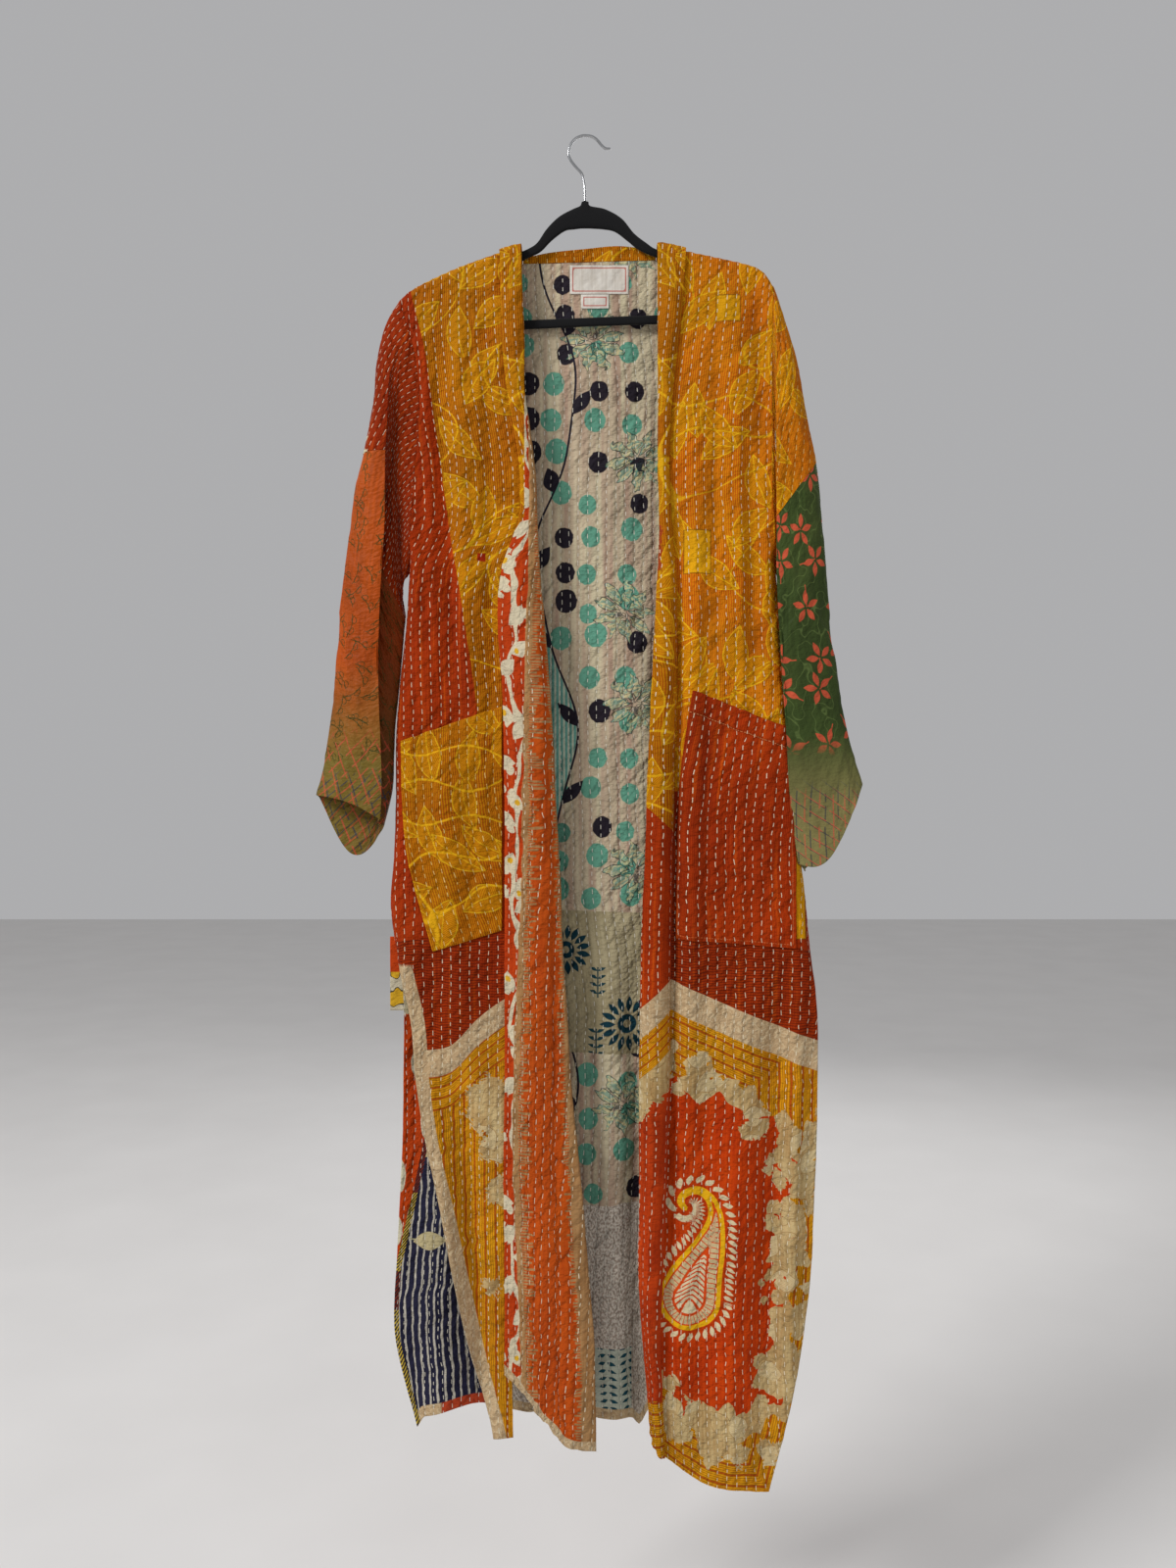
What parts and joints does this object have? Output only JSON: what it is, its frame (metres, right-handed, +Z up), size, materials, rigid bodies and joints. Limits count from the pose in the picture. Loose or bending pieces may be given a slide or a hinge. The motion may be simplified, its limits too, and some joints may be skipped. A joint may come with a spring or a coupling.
{
  "type": "open-front patchwork kimono robe on a flocked clothes hanger",
  "caption": "Long open patchwork kimono robe in quilted running stitch with silk sleeves, patch pockets and side slits, hanging on a slim black clothes hanger.",
  "frame": {"origin": "inside of the hook's crown, where a rail or peg holds the hanger", "axes": "+Z up; +X to the right as seen from the front; the open front faces -Y"},
  "size_m": [0.638, 0.0584, 1.5772],
  "materials": {
    "quilted_mustard": "mustard and orange sari cotton, quilted in rows of cream running stitch",
    "quilted_orange_red": "orange-red sari cotton, quilted in rows of cream running stitch",
    "band_orange": "orange cotton with beige ragged stitched edges",
    "silk_rust": "rust to olive printed silk, slight sheen",
    "silk_green": "dark green silk with coral blossoms, slight sheen",
    "floral_print": "orange-red cotton with cream ovals",
    "label_white": "blank woven white label",
    "black_flock": "black flocked plastic",
    "bright_wire": "bright plated wire"
  },
  "bodies": {
    "root": {"back": "quilted_orange_red", "front_left": "quilted_mustard", "front_right": "quilted_mustard", "neckband_left": "band_orange", "neckband_right": "quilted_mustard", "neckband_back": "quilted_mustard", "sleeve_upper_left": "quilted_orange_red", "sleeve_lower_left": "silk_rust", "sleeve_upper_right": "quilted_mustard", "sleeve_lower_right": "silk_green", "pocket_left": "quilted_mustard", "pocket_right": "quilted_orange_red", "side_tie": "floral_print", "label": "label_white", "care_tag": "label_white", "hanger_body": "black_flock", "hanger_hook": "bright_wire"}
  },
  "joints": []
}
